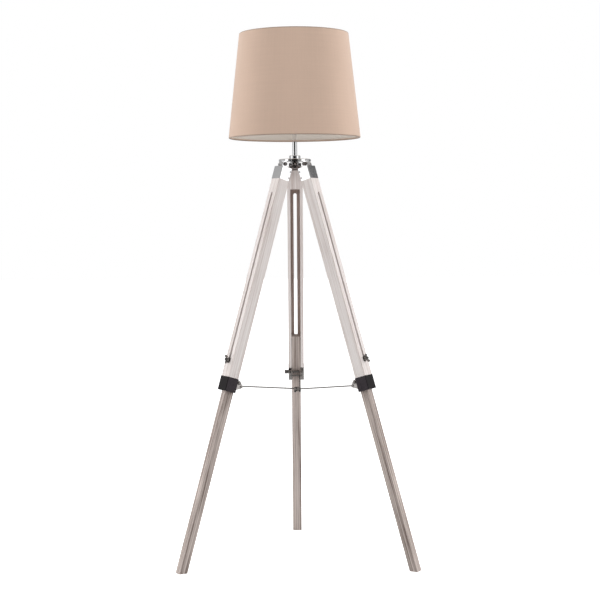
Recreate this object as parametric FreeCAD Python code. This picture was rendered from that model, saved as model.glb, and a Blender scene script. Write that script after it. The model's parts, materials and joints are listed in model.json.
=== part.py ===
import FreeCAD, Part
import math
import os

# Tripod floor lamp: a cloth drum shade on a chrome stem, a chrome hinge hub, and three
# telescopic wooden legs tied together by a folding rod spreader.
# The part is built about the lamp's axis with the floor at z = 0, then moved sideways so
# that the origin lies under the middle of its footprint. One STEP file is written per piece.

Vector = FreeCAD.Vector
UP = Vector(0, 0, 1)

# ---------------------------------------------------------------- driving dimensions (mm)
LEG_AZIMUTHS = (90.0, 210.0, 330.0)     # leg 1 points back, legs 2 and 3 point forward
CLAMP_NUT_SIDES = (1, -1, 1)            # side of each leg that its clamp's wing nut is on
LEAN = 16.9                             # leg lean from the vertical with the tripod open
LEG_RADIUS = 33.0                       # lamp axis to the leg's middle line, at the hub
LEG_HEIGHT = 1063.0                     # floor to that same place, where each leg is measured from
PIN_SET_OUT = 4.0                       # hinge pin, outwards from the leg's middle line
CLEARANCE = 0.35                        # gap between pieces that slide or turn past each other
PIN_FIT = 0.05                          # radial gap between a pin and a piece that turns on it

UPPER_WIDTH = 42.0                      # upper leg, across
UPPER_DEPTH = 30.5                      # upper leg, inside face to outside face
UPPER_TOP = 9.6                         # distances along the leg are from hinge pin height
UPPER_END = 617.0
CHANNEL_WIDTH = 26.0                    # channel in the inside face that the lower leg runs in
CHANNEL_DEPTH = 22.7
CHANNEL_TOP = 63.5
SLOT_WIDTH = 9.0                        # slot right through the channel's back wall
SLOT_TOP = 80.5
SLOT_END = 550.0

LOWER_TOP = 492.5                       # top end of the lower leg, fully drawn out
SLOT_BOLT = 542.5                       # bolt that guides the lower leg in the slot
SLOT_BOLT_DIAMETER = 6.0
SLOT_BOLT_HEAD = (7.0, 3.0)             # radius, height
SLOT_BOLT_SUNK = 0.2                    # its head below the lower leg's inside face
SLOT_BOLT_REACH = 12.5                  # its end beyond the upper leg's outside face
SLOT_WASHER = (8.0, 1.4)                # radius, thickness
SLOT_NUT = (5.5, 8.0, 25.0, 11.0)       # hub radius, hub height, wing span, wing height
SLOT_NUT_TURN = 25.0                    # how far its wings are turned from along the leg

BRACKET_TOP = 8.0                       # chrome cap on the head of each upper leg
BRACKET_END = 43.0
BRACKET_SHEET = 1.6                     # sheet thickness of the cap
BRACKET_PROUD = 0.4                     # how far the cap stands proud of the wood
HINGE_LUG_THICKNESS = 4.0               # each hinge lug on the cap
SCREW_SET_IN = 12.0                     # cap's side screws, from the leg's middle line
SCREW_PLACES = (18.0, 35.0)             # along the leg
SCREW_RADIUS = 1.3
SCREW_LENGTH = 12.0
SCREW_DOME = 3.2                        # radius of the ball that a screw head is cut from
SCREW_DOME_SUNK = 1.9
KNUCKLE_WIDTH = 16.0                    # hub's half of the leg hinge
KNUCKLE_RADIUS = 7.0
HINGE_BOLT_DIAMETER = 6.0
HINGE_HEAD = (5.2, 3.6, 1.6)            # domed head: radius, height, rounding
HINGE_NUT = (10.0, 4.6)                 # across flats, height
HINGE_THREAD = 5.0                      # thread beyond the hinge lugs

SLEEVE_TOP = 586.0                      # dark clamp sleeve at the foot of each upper leg
SLEEVE_END = 623.5
SLEEVE_SHEET = 2.0
SLEEVE_PROUD = 0.8
LIP_WIDTH = 10.2                        # each lip that the sleeve turns over the inside face
LUG_THICKNESS = 3.0
CLAMP_BOLT = (595.0, 23.0)              # clamp bolt: along the leg, in towards the lamp axis
CLAMP_BOLT_DIAMETER = 5.0
CLAMP_BOLT_REACH = 11.0                 # its end beyond the sleeve's side
CLAMP_BOLT_HEAD = (4.5, 4.0, 1.5)       # radius, height, rounding
CLAMP_NUT = (5.5, 9.5, 24.0, 10.5)      # hub radius, hub height, wing span, wing height
CLAMP_NUT_GAP = 0.8                     # its wings turn this far clear of the sleeve's side
ROD_PIN = (603.0, 32.0)                 # spreader rod's outer pin, measured the same way
ROD_PIN_DIAMETER = 4.0
ROD_PIN_HEAD = (3.4, 1.6)               # radius, height

ROD_DIAMETER = 3.6
ROD_OFFSET = -8.8                       # rods pass beside the lamp axis by this much
ROD_DROOP = 5.8                         # rods sag towards the middle with the tripod open
ROD_EYE_RADIUS = 3.9
ROD_EYE_WIDTH = 4.2
ROD_CAP_RADIUS = 2.4
ROD_CAP_LENGTH = 5.3
ROD_CAP_ROUNDING = 1.2
CAP_OVERLAP = 0.8                       # cap's top, up round the rod's eye

HUB_RADIUS = 43.0
HUB_BOTTOM = 1072.0
HUB_TOP = 1078.0
COLLAR_TOP = 1087.5
COLLAR_RADIUS = 15.0
STEM_RADIUS = 6.4
STEM_BORE_RADIUS = 5.0
STEM_TOP = 1158.0
CUP_RADIUS = 16.8
CUP_BOTTOM = 1049.5
CORD_RADIUS = 3.5                       # hole for the supply cord
NIPPLE_INTO_STEM = 12.0                 # threaded nipple above the hub
LOCK_NUT = (14.0, 4.0)                  # across flats, height
GLAND_RADIUS = 7.5
GLAND_FLANGE = 1.5
GLAND_DEPTH = 7.0

SHADE_BOTTOM = 1133.0
SHADE_TOP = 1413.0
SHADE_BOTTOM_RADIUS = 177.0
SHADE_TOP_RADIUS = 146.0
COVER_THICKNESS = 1.4
LINING_THICKNESS = 0.8
WIRE_DIAMETER = 3.0
WIRE_SET_IN = 3.5                       # rim of the shade to the middle of its wire
LINING_TRIM = 1.5                       # lining, short of each rim

HOLDER_BOTTOM = 1150.0
HOLDER_SHOULDER = 1175.0
SPIDER_RING_THICKNESS = 3.6
HOLDER_TOP = 1215.0
HOLDER_RADIUS = 19.5
RING_NUT_RADIUS = 27.0
RING_NUT_GRIP = 23.5
SPIDER_FIT = 0.2                        # radial gap between the spider's ring and the holder
BULB_CAP_RADIUS = 13.2
BULB_CAP_BOTTOM = 1188.0
BULB_NECK = 1216.0
BULB_RADIUS = 30.0
BULB_TOP = 1300.0

# ---------------------------------------------------------------- derived values
LOWER_WIDTH = CHANNEL_WIDTH - 2 * CLEARANCE
LOWER_OUTER = UPPER_DEPTH / 2 - (UPPER_DEPTH - CHANNEL_DEPTH) - CLEARANCE
LOWER_INNER = -UPPER_DEPTH / 2 + CLEARANCE
SLEEVE_HALF = UPPER_WIDTH / 2 + SLEEVE_PROUD
LUG_INNER = SLEEVE_HALF - LIP_WIDTH
LEAN_SIN, LEAN_COS = math.sin(math.radians(LEAN)), math.cos(math.radians(LEAN))
PIVOT_RADIUS = LEG_RADIUS + PIN_SET_OUT * LEAN_COS
PIVOT_HEIGHT = LEG_HEIGHT + PIN_SET_OUT * LEAN_SIN
PIN_RADIUS_OPEN = LEG_RADIUS + ROD_PIN[0] * LEAN_SIN - ROD_PIN[1] * LEAN_COS
PIN_HEIGHT_OPEN = LEG_HEIGHT - ROD_PIN[0] * LEAN_COS - ROD_PIN[1] * LEAN_SIN
ROD_LENGTH = PIN_RADIUS_OPEN / math.cos(math.radians(ROD_DROOP))
SPIDER_TOP = HOLDER_SHOULDER + SPIDER_RING_THICKNESS
SPREADER_HEIGHT = PIN_HEIGHT_OPEN - ROD_LENGTH * math.sin(math.radians(ROD_DROOP))

pieces = {}


# ---------------------------------------------------------------- shapes
def block(x_range, y_range, z_range, round_edges=0.0, direction=None):
    """A box between three pairs of limits, its edges along one direction rounded."""
    corner = Vector(x_range[0], y_range[0], z_range[0])
    solid = Part.makeBox(x_range[1] - x_range[0], y_range[1] - y_range[0],
                         z_range[1] - z_range[0], corner)
    if round_edges:
        edges = [edge for edge in solid.Edges
                 if direction is None or abs(edge.tangentAt(0).dot(direction)) > 0.9]
        solid = solid.makeFillet(round_edges, edges)
    return solid


def rod_between(start, end, radius):
    """A round bar from one point to another."""
    along = end - start
    return Part.makeCylinder(radius, along.Length, start, along)


def cross_pin(x, z, radius, y_start, y_end):
    """A round bar across the leg, parallel to its hinge pin."""
    return Part.makeCylinder(radius, y_end - y_start, Vector(x, y_start, z), Vector(0, 1, 0))


def turned(profile):
    """A solid turned about the lamp axis from (radius, height) points on one side."""
    points = [Vector(radius, 0, height) for radius, height in profile]
    face = Part.Face(Part.makePolygon(points + points[:1]))
    return face.revolve(Vector(0, 0, 0), UP, 360)


def hexagon(across_flats, height, position, axis):
    """A hexagonal prism, such as a nut or a bolt head."""
    radius = across_flats / math.sqrt(3)
    points = [Vector(radius * math.cos(math.radians(60 * k)),
                     radius * math.sin(math.radians(60 * k)), 0) for k in range(7)]
    prism = Part.Face(Part.makePolygon(points)).extrude(Vector(0, 0, height))
    prism.Placement = FreeCAD.Placement(position, FreeCAD.Rotation(UP, axis))
    return prism


def wing_nut(bore_radius, hub_radius, hub_height, wing_span, wing_height, neck=0.0):
    """A wing nut standing on z = 0 about its own bore: a neck, a tapered hub and two wings."""
    hub = Part.makeCone(hub_radius, hub_radius * 0.8, hub_height, Vector(0, 0, neck))
    if neck:
        hub = hub.fuse(Part.makeCylinder(hub_radius * 0.8, neck))
    wing_thickness = hub_radius * 0.5
    root = hub_radius * 0.4
    wing_length = wing_span / 2 - root
    for side in (1, -1):
        outline = [Vector(side * (root + share_out * wing_length), 0, neck + height)
                   for share_out, height in ((0, 0.6), (0.55, 1.6), (1, wing_height * 0.55),
                                             (0.88, wing_height), (0.6, wing_height * 0.92),
                                             (0, hub_height * 0.75))]
        wing = Part.Face(Part.makePolygon(outline + outline[:1])).extrude(
            Vector(0, wing_thickness, 0))
        wing.translate(Vector(0, -wing_thickness / 2, 0))
        hub = hub.fuse(wing)
    return hub.cut(Part.makeCylinder(bore_radius, neck + hub_height)).removeSplitter()


# ---------------------------------------------------------------- hub and stem
def stem_bore():
    """What is bored out of the hub and its lock nut for the nipple."""
    return rod_between(Vector(0, 0, CUP_BOTTOM), Vector(0, 0, COLLAR_TOP), STEM_BORE_RADIUS)


def make_hub():
    """Round chrome plate with three hinge knuckles under its rim."""
    plate = turned([(0, HUB_BOTTOM), (HUB_RADIUS, HUB_BOTTOM), (HUB_RADIUS, HUB_TOP - 1.5),
                    (HUB_RADIUS - 3, HUB_TOP), (0, HUB_TOP)])
    half = KNUCKLE_WIDTH / 2
    for azimuth in LEG_AZIMUTHS:
        web = block((PIVOT_RADIUS - KNUCKLE_RADIUS, HUB_RADIUS), (-half, half),
                    (PIVOT_HEIGHT, HUB_BOTTOM))
        barrel = cross_pin(PIVOT_RADIUS, PIVOT_HEIGHT, KNUCKLE_RADIUS, -half, half)
        bore = cross_pin(PIVOT_RADIUS, PIVOT_HEIGHT, HINGE_BOLT_DIAMETER / 2, -half, half)
        knuckle = web.fuse(barrel).cut(bore)
        knuckle.rotate(Vector(0, 0, 0), UP, azimuth)
        plate = plate.fuse(knuckle)
    return plate.cut(stem_bore())


def make_head():
    pieces["hub_plate"] = make_hub()
    pieces["hub_collar"] = turned([
        (STEM_RADIUS, HUB_TOP), (COLLAR_RADIUS, HUB_TOP), (COLLAR_RADIUS, COLLAR_TOP - 1),
        (COLLAR_RADIUS - 1, COLLAR_TOP), (STEM_RADIUS, COLLAR_TOP)])
    pieces["stem_tube"] = turned([
        (STEM_BORE_RADIUS, HUB_TOP), (STEM_RADIUS, HUB_TOP), (STEM_RADIUS, STEM_TOP),
        (STEM_BORE_RADIUS, STEM_TOP)])
    # Threaded sleeve that pulls the collar, plate and cup together, with its lock nut.
    nipple = turned([
        (CORD_RADIUS, CUP_BOTTOM + GLAND_DEPTH), (STEM_BORE_RADIUS, CUP_BOTTOM + GLAND_DEPTH),
        (STEM_BORE_RADIUS, HUB_TOP + NIPPLE_INTO_STEM), (CORD_RADIUS, HUB_TOP + NIPPLE_INTO_STEM)])
    pieces["threaded_nipple"] = nipple
    neck_top = HUB_BOTTOM - LOCK_NUT[1]
    pieces["hub_lock_nut"] = hexagon(*LOCK_NUT, Vector(0, 0, neck_top), UP).cut(stem_bore())
    pieces["hub_cup"] = turned([
        (STEM_BORE_RADIUS, neck_top), (8.2, neck_top), (7.2, neck_top - 3.5),
        (9.5, CUP_BOTTOM + 11.5), (CUP_RADIUS, CUP_BOTTOM + 8.5), (CUP_RADIUS, CUP_BOTTOM + 4.5),
        (14.5, CUP_BOTTOM + 1.8), (9.5, CUP_BOTTOM), (STEM_BORE_RADIUS, CUP_BOTTOM)])
    # Plastic bush that the supply cord leaves through.
    pieces["cord_gland"] = turned([
        (CORD_RADIUS, CUP_BOTTOM - GLAND_FLANGE), (GLAND_RADIUS, CUP_BOTTOM - GLAND_FLANGE),
        (GLAND_RADIUS, CUP_BOTTOM), (STEM_BORE_RADIUS, CUP_BOTTOM),
        (STEM_BORE_RADIUS, CUP_BOTTOM + GLAND_DEPTH), (CORD_RADIUS, CUP_BOTTOM + GLAND_DEPTH)])
    bolts, nuts = [], []
    reach = KNUCKLE_WIDTH / 2 + CLEARANCE + HINGE_LUG_THICKNESS
    head_radius, head_height, rounding = HINGE_HEAD
    for azimuth in LEG_AZIMUTHS:
        shank = cross_pin(PIVOT_RADIUS, PIVOT_HEIGHT, HINGE_BOLT_DIAMETER / 2,
                          -reach - HINGE_THREAD, reach)
        head = cross_pin(PIVOT_RADIUS, PIVOT_HEIGHT, head_radius, reach, reach + head_height)
        head = head.makeFillet(rounding, [edge for edge in head.Edges
                                          if edge.CenterOfMass.y > reach + head_height / 2
                                          and edge.Closed])
        bolt = shank.fuse(head)
        nut = hexagon(*HINGE_NUT, Vector(PIVOT_RADIUS, -reach, PIVOT_HEIGHT), Vector(0, -1, 0))
        nut = nut.cut(shank)
        for solid, group in ((bolt, bolts), (nut, nuts)):
            solid.rotate(Vector(0, 0, 0), UP, azimuth)
            group.append(solid)
    pieces["leg_hinge_bolts"] = Part.makeCompound(bolts)
    pieces["leg_hinge_nuts"] = Part.makeCompound(nuts)


# ---------------------------------------------------------------- lampholder, bulb, shade
def make_lampholder():
    pieces["lampholder_cap"] = turned([
        (STEM_RADIUS, HOLDER_BOTTOM), (9.5, HOLDER_BOTTOM), (9.5, HOLDER_BOTTOM + 6),
        (16, HOLDER_BOTTOM + 9), (HOLDER_RADIUS, HOLDER_SHOULDER - 8),
        (HOLDER_RADIUS, HOLDER_SHOULDER - 3), (HOLDER_RADIUS - 2, HOLDER_SHOULDER - 3),
        (HOLDER_RADIUS - 2, HOLDER_SHOULDER - 8), (STEM_RADIUS, HOLDER_BOTTOM + 8)])
    pieces["lampholder_body"] = turned([
        (0, HOLDER_SHOULDER - 3), (HOLDER_RADIUS + 2.5, HOLDER_SHOULDER - 3),
        (HOLDER_RADIUS + 2.5, HOLDER_SHOULDER), (HOLDER_RADIUS, HOLDER_SHOULDER),
        (HOLDER_RADIUS, HOLDER_TOP), (BULB_CAP_RADIUS + 1.2, HOLDER_TOP),
        (BULB_CAP_RADIUS + 1.2, BULB_CAP_BOTTOM - 4), (0, BULB_CAP_BOTTOM - 4)])
    pieces["holder_contact"] = turned([
        (0, BULB_CAP_BOTTOM - 4), (4, BULB_CAP_BOTTOM - 4), (4, BULB_CAP_BOTTOM - 3),
        (2.5, BULB_CAP_BOTTOM), (0, BULB_CAP_BOTTOM)])
    pieces["shade_ring_nut"] = turned([
        (HOLDER_RADIUS, SPIDER_TOP), (RING_NUT_RADIUS, SPIDER_TOP), (RING_NUT_RADIUS, SPIDER_TOP + 3),
        (RING_NUT_GRIP, SPIDER_TOP + 5), (RING_NUT_GRIP, SPIDER_TOP + 10),
        (HOLDER_RADIUS, SPIDER_TOP + 10)])


def make_bulb():
    pieces["bulb_cap"] = turned([
        (0, BULB_CAP_BOTTOM), (4.5, BULB_CAP_BOTTOM), (6.5, BULB_CAP_BOTTOM + 3),
        (BULB_CAP_RADIUS, BULB_CAP_BOTTOM + 5), (BULB_CAP_RADIUS, BULB_NECK), (0, BULB_NECK)])
    centre = BULB_TOP - BULB_RADIUS
    ball = Part.makeSphere(BULB_RADIUS, Vector(0, 0, centre))
    neck_angle = math.radians(38)
    meet_radius = BULB_RADIUS * math.cos(neck_angle)
    meet_height = centre - BULB_RADIUS * math.sin(neck_angle)
    neck = turned([(0, BULB_NECK), (BULB_CAP_RADIUS - 0.4, BULB_NECK),
                   (BULB_CAP_RADIUS + 1.2, BULB_NECK + 8), (meet_radius, meet_height),
                   (0, meet_height)])
    pieces["bulb_glass"] = ball.fuse(neck)


def shade_radius(height):
    """Outer radius of the shade at a height."""
    share = (height - SHADE_BOTTOM) / (SHADE_TOP - SHADE_BOTTOM)
    return SHADE_BOTTOM_RADIUS + share * (SHADE_TOP_RADIUS - SHADE_BOTTOM_RADIUS)


def shade_shell(outer_gap, thickness, height_trim):
    """A thin conical wall set in from the shade's outer face by outer_gap."""
    low, high = SHADE_BOTTOM + height_trim, SHADE_TOP - height_trim
    return turned([(shade_radius(low) - outer_gap, low), (shade_radius(high) - outer_gap, high),
                   (shade_radius(high) - outer_gap - thickness, high),
                   (shade_radius(low) - outer_gap - thickness, low)])


def make_shade():
    pieces["shade_cover"] = shade_shell(0, COVER_THICKNESS, 0)
    pieces["shade_lining"] = shade_shell(COVER_THICKNESS, LINING_THICKNESS, LINING_TRIM)
    wall = COVER_THICKNESS + LINING_THICKNESS
    for name, height in (("shade_top_wire", SHADE_TOP - WIRE_SET_IN),
                         ("shade_bottom_wire", SHADE_BOTTOM + WIRE_SET_IN)):
        radius = shade_radius(height) - wall - WIRE_DIAMETER / 2
        pieces[name] = Part.makeTorus(radius, WIRE_DIAMETER / 2, Vector(0, 0, height))
    ring_radius = shade_radius(SHADE_BOTTOM + WIRE_SET_IN) - wall - WIRE_DIAMETER
    ring_inner = HOLDER_RADIUS + SPIDER_FIT
    spider = turned([(ring_inner, HOLDER_SHOULDER), (RING_NUT_RADIUS, HOLDER_SHOULDER),
                     (RING_NUT_RADIUS, SPIDER_TOP), (ring_inner, SPIDER_TOP)])
    for azimuth in LEG_AZIMUTHS:
        arm = rod_between(Vector(RING_NUT_RADIUS - WIRE_DIAMETER, 0, (HOLDER_SHOULDER + SPIDER_TOP) / 2),
                          Vector(ring_radius, 0, SHADE_BOTTOM + WIRE_SET_IN), WIRE_DIAMETER / 2)
        arm.rotate(Vector(0, 0, 0), UP, azimuth)
        spider = spider.fuse(arm)
    pieces["shade_spider"] = spider


# ---------------------------------------------------------------- one leg
# A leg is drawn hanging straight down, its middle line on the Z axis: +X is away from the
# lamp axis, Y is along the hinge pin, and a place "along the leg" is a negative z.
def place_leg(solid, azimuth):
    """Lean a leg piece out from the hub and turn it to its azimuth."""
    placed = solid.copy()
    placed.rotate(Vector(0, 0, 0), Vector(0, 1, 0), -LEAN)
    placed.translate(Vector(LEG_RADIUS, 0, LEG_HEIGHT))
    placed.rotate(Vector(0, 0, 0), UP, azimuth)
    return placed


def facing(solid, side):
    """The piece as drawn for side 1, or mirrored across the leg's middle for side -1."""
    return solid if side > 0 else solid.mirror(Vector(0, 0, 0), Vector(0, 1, 0))


def make_upper_leg():
    """Wooden upper leg: channelled inside face, slotted back wall, ends cut in for the metal."""
    half_width, half_depth = UPPER_WIDTH / 2, UPPER_DEPTH / 2
    wood = block((-half_depth, half_depth), (-half_width, half_width), (-SLEEVE_TOP, -BRACKET_END),
                 1.2, UP)
    head = BRACKET_SHEET - BRACKET_PROUD
    wood = wood.fuse(block((-half_depth, half_depth - head), (-half_width + head, half_width - head),
                           (-BRACKET_END, -UPPER_TOP)))
    foot = SLEEVE_SHEET - SLEEVE_PROUD
    wood = wood.fuse(block((-half_depth, half_depth - foot), (-half_width + foot, half_width - foot),
                           (-UPPER_END, -SLEEVE_TOP)))
    channel_floor = half_depth - (UPPER_DEPTH - CHANNEL_DEPTH)
    channel = block((-half_depth - 1, channel_floor), (-CHANNEL_WIDTH / 2, CHANNEL_WIDTH / 2),
                    (-UPPER_END - 1, -CHANNEL_TOP))
    slot_half = SLOT_WIDTH / 2
    slot = block((0, half_depth + 1), (-slot_half, slot_half),
                 (-SLOT_END + slot_half, -SLOT_TOP - slot_half))
    for end in (-SLOT_END + slot_half, -SLOT_TOP - slot_half):
        slot = slot.fuse(Part.makeCylinder(slot_half, half_depth + 1, Vector(0, 0, end), Vector(1, 0, 0)))
    return wood.cut(channel).cut(slot)


def make_top_bracket():
    """Chrome cap over the leg's head, open on the inside face, with two hinge lugs on top."""
    outer_y, outer_x = UPPER_WIDTH / 2 + BRACKET_PROUD, UPPER_DEPTH / 2 + BRACKET_PROUD
    inner_y, inner_x = outer_y - BRACKET_SHEET, outer_x - BRACKET_SHEET
    cap = block((-outer_x, outer_x), (-outer_y, outer_y), (-BRACKET_END, -BRACKET_TOP), 1.6, UP)
    cap = cap.cut(block((-outer_x - 1, inner_x), (-inner_y, inner_y), (-BRACKET_END - 1, -UPPER_TOP)))
    cap = cap.cut(block((-outer_x - 1, -UPPER_DEPTH / 2), (-outer_y - 1, outer_y + 1),
                        (-BRACKET_END - 1, -BRACKET_TOP + 1)))
    for side in (1, -1):
        near = side * (KNUCKLE_WIDTH / 2 + CLEARANCE)
        low, high = sorted((near, near + side * HINGE_LUG_THICKNESS))
        lug = cross_pin(PIN_SET_OUT, 0, KNUCKLE_RADIUS, low, high)
        lug = lug.fuse(block((PIN_SET_OUT - KNUCKLE_RADIUS, PIN_SET_OUT + KNUCKLE_RADIUS), (low, high),
                             (-BRACKET_TOP - 0.5, 0)))
        bore = cross_pin(PIN_SET_OUT, 0, HINGE_BOLT_DIAMETER / 2 + PIN_FIT, low, high)
        cap = cap.fuse(lug.cut(bore))
    return cap


def make_bracket_screws():
    """Two small dome-headed wood screws in each side of the cap."""
    screws = []
    for side in (1, -1):
        surface = side * (UPPER_WIDTH / 2 + BRACKET_PROUD)
        for along in SCREW_PLACES:
            middle = Vector(-SCREW_SET_IN, surface, -along)
            shank = rod_between(middle - Vector(0, side * SCREW_LENGTH, 0), middle, SCREW_RADIUS)
            head = Part.makeSphere(SCREW_DOME, middle - Vector(0, side * SCREW_DOME_SUNK, 0))
            head = head.cut(block((middle.x - 5, middle.x + 5), sorted((surface, surface - side * 8)),
                                  (middle.z - 5, middle.z + 5)))
            screws.append(shank.fuse(head))
    return Part.makeCompound(screws)


def lug_profile(side):
    """Flat lug of the clamp sleeve that carries the clamp bolt and the spreader rod's pin."""
    low, high = sorted((side * LUG_INNER, side * (LUG_INNER + LUG_THICKNESS)))
    bolt = Vector(-CLAMP_BOLT[1], 0, -CLAMP_BOLT[0])
    pin = Vector(-ROD_PIN[1], 0, -ROD_PIN[0])
    root_top = Vector(-UPPER_DEPTH / 2, 0, -SLEEVE_TOP - 1)
    root_low = Vector(-UPPER_DEPTH / 2, 0, -SLEEVE_END + 7)
    outline = [root_top, Vector(bolt.x - 2, 0, bolt.z + 6), Vector(pin.x - 1.5, 0, pin.z + 5),
               Vector(pin.x - 5, 0, pin.z), Vector(pin.x - 1, 0, pin.z - 5), root_low]
    plate = Part.Face(Part.makePolygon(outline + outline[:1])).extrude(Vector(0, high - low, 0))
    plate.translate(Vector(0, low, 0))
    plate = plate.cut(cross_pin(bolt.x, bolt.z, CLAMP_BOLT_DIAMETER / 2, low, high))
    return plate.cut(cross_pin(pin.x, pin.z, ROD_PIN_DIAMETER / 2, low, high))


def make_clamp_sleeve():
    """Dark C-shaped sleeve round the foot of the upper leg, its thin lips over the inside face."""
    inside_face, wall = -UPPER_DEPTH / 2, SLEEVE_SHEET
    outer_x = UPPER_DEPTH / 2 + SLEEVE_PROUD
    below = (-SLEEVE_END - 1, -SLEEVE_TOP + 1)
    sleeve = block((inside_face - SLEEVE_PROUD, outer_x), (-SLEEVE_HALF, SLEEVE_HALF),
                   (-SLEEVE_END, -SLEEVE_TOP), 1.4, UP)
    sleeve = sleeve.cut(block((inside_face, outer_x - wall), (-SLEEVE_HALF + wall, SLEEVE_HALF - wall),
                              below))
    sleeve = sleeve.cut(block((inside_face - 5, 0), (-LUG_INNER, LUG_INNER), below))
    for side in (1, -1):
        sleeve = sleeve.fuse(lug_profile(side))
    return sleeve


def make_clamp_bolt(side):
    """Bolt through both lugs: round head at one side, thread left long for the wing nut."""
    x, z = -CLAMP_BOLT[1], -CLAMP_BOLT[0]
    lug_face = LUG_INNER + LUG_THICKNESS
    head_radius, head_height, rounding = CLAMP_BOLT_HEAD
    shank = cross_pin(x, z, CLAMP_BOLT_DIAMETER / 2, -lug_face, SLEEVE_HALF + CLAMP_BOLT_REACH)
    head = cross_pin(x, z, head_radius, -lug_face - head_height, -lug_face)
    head = head.makeFillet(rounding, [edge for edge in head.Edges if edge.Closed
                                      and edge.CenterOfMass.y < -lug_face - head_height / 2])
    return facing(shank.fuse(head), side)


def make_clamp_wing_nut(side):
    """Long-necked wing nut: its wings turn just clear of the sleeve's side."""
    lug_face = LUG_INNER + LUG_THICKNESS + CLEARANCE
    neck = SLEEVE_HALF + CLAMP_NUT_GAP - lug_face
    nut = wing_nut(CLAMP_BOLT_DIAMETER / 2 + PIN_FIT, *CLAMP_NUT, neck)
    nut.rotate(Vector(0, 0, 0), Vector(1, 0, 0), -90)
    nut.translate(Vector(-CLAMP_BOLT[1], lug_face, -CLAMP_BOLT[0]))
    return facing(nut, side)


def make_rod_pin():
    """Pin through the lugs that the spreader rod swings on, headed at both ends."""
    x, z = -ROD_PIN[1], -ROD_PIN[0]
    face = LUG_INNER + LUG_THICKNESS
    pin = cross_pin(x, z, ROD_PIN_DIAMETER / 2, -face, face)
    head_radius, head_height = ROD_PIN_HEAD
    for low in (-face - head_height, face):
        pin = pin.fuse(cross_pin(x, z, head_radius, low, low + head_height))
    return pin


def slot_bolt_hole():
    """What is drilled right through the leg for the slot bolt."""
    return rod_between(Vector(-UPPER_DEPTH, 0, -SLOT_BOLT), Vector(UPPER_DEPTH, 0, -SLOT_BOLT),
                       SLOT_BOLT_DIAMETER / 2)


def make_lower_leg():
    """Wooden lower leg with a hole for its slot bolt; its foot is cut level later."""
    reach = LEG_HEIGHT / LEAN_COS + UPPER_DEPTH
    wood = block((LOWER_INNER, LOWER_OUTER), (-LOWER_WIDTH / 2, LOWER_WIDTH / 2),
                 (-reach, -LOWER_TOP), 1.0, UP)
    head_radius, head_height = SLOT_BOLT_HEAD
    inside_face = Vector(LOWER_INNER, 0, -SLOT_BOLT)
    head_hole = rod_between(inside_face, inside_face + Vector(head_height + SLOT_BOLT_SUNK, 0, 0),
                            head_radius)
    return wood.cut(slot_bolt_hole()).cut(head_hole)


def make_slot_bolt():
    """Bolt through the lower leg and the slot, its low round head sunk in the inside face."""
    start = Vector(LOWER_INNER + SLOT_BOLT_SUNK, 0, -SLOT_BOLT)
    head = Part.makeCylinder(*SLOT_BOLT_HEAD, start, Vector(1, 0, 0))
    end = Vector(UPPER_DEPTH / 2 + SLOT_BOLT_REACH, 0, -SLOT_BOLT)
    return head.fuse(rod_between(start, end, SLOT_BOLT_DIAMETER / 2))


def make_slot_washer():
    face = UPPER_DEPTH / 2 + CLEARANCE
    washer = Part.makeCylinder(*SLOT_WASHER, Vector(face, 0, -SLOT_BOLT), Vector(1, 0, 0))
    return washer.cut(slot_bolt_hole())


def make_slot_wing_nut():
    nut = wing_nut(SLOT_BOLT_DIAMETER / 2 + PIN_FIT, *SLOT_NUT)
    nut.rotate(Vector(0, 0, 0), Vector(0, 1, 0), 90)
    nut.rotate(Vector(0, 0, 0), Vector(1, 0, 0), SLOT_NUT_TURN)
    nut.translate(Vector(UPPER_DEPTH / 2 + 2 * CLEARANCE + SLOT_WASHER[1], 0, -SLOT_BOLT))
    return nut


def make_leg(number, azimuth):
    side = CLAMP_NUT_SIDES[number - 1]
    for name, solid in (("upper_leg", make_upper_leg()), ("top_bracket", make_top_bracket()),
                        ("bracket_screws", make_bracket_screws()),
                        ("clamp_sleeve", make_clamp_sleeve()), ("clamp_bolt", make_clamp_bolt(side)),
                        ("clamp_wing_nut", make_clamp_wing_nut(side)), ("rod_pin", make_rod_pin()),
                        ("slot_bolt", make_slot_bolt()), ("slot_washer", make_slot_washer()),
                        ("slot_wing_nut", make_slot_wing_nut())):
        pieces[f"{name}_{number}"] = place_leg(solid, azimuth)
    below_floor = block((-900, 900), (-900, 900), (-200, 0))
    pieces[f"lower_leg_{number}"] = place_leg(make_lower_leg(), azimuth).cut(below_floor)


# ---------------------------------------------------------------- spreader
# A rod is drawn with its outer eye at (0, 0, 0), running in to its inner eye.
def make_rod(number, azimuth):
    droop = math.radians(ROD_DROOP)
    inner = Vector(-ROD_LENGTH * math.cos(droop), 0, -ROD_LENGTH * math.sin(droop))
    half = ROD_EYE_WIDTH / 2
    rod = rod_between(Vector(0, 0, 0), inner, ROD_DIAMETER / 2)
    for eye in (Vector(0, 0, 0), inner):
        rod = rod.fuse(cross_pin(eye.x, eye.z, ROD_EYE_RADIUS, -half, half))
    rod = rod.cut(cross_pin(0, 0, ROD_PIN_DIAMETER / 2 + PIN_FIT, -half, half))
    cap_top = inner - Vector(0, 0, ROD_EYE_RADIUS - CAP_OVERLAP)
    cap = rod_between(cap_top, cap_top - Vector(0, 0, ROD_CAP_LENGTH), ROD_CAP_RADIUS)
    cap = cap.makeFillet(ROD_CAP_ROUNDING, [cap.Edges[0]]).cut(rod)
    for name, solid in (("spreader_rod", rod), ("rod_cap", cap)):
        placed = solid.copy()
        placed.translate(Vector(PIN_RADIUS_OPEN, ROD_OFFSET, PIN_HEIGHT_OPEN))
        placed.rotate(Vector(0, 0, 0), UP, azimuth)
        pieces[f"{name}_{number}"] = placed


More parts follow.
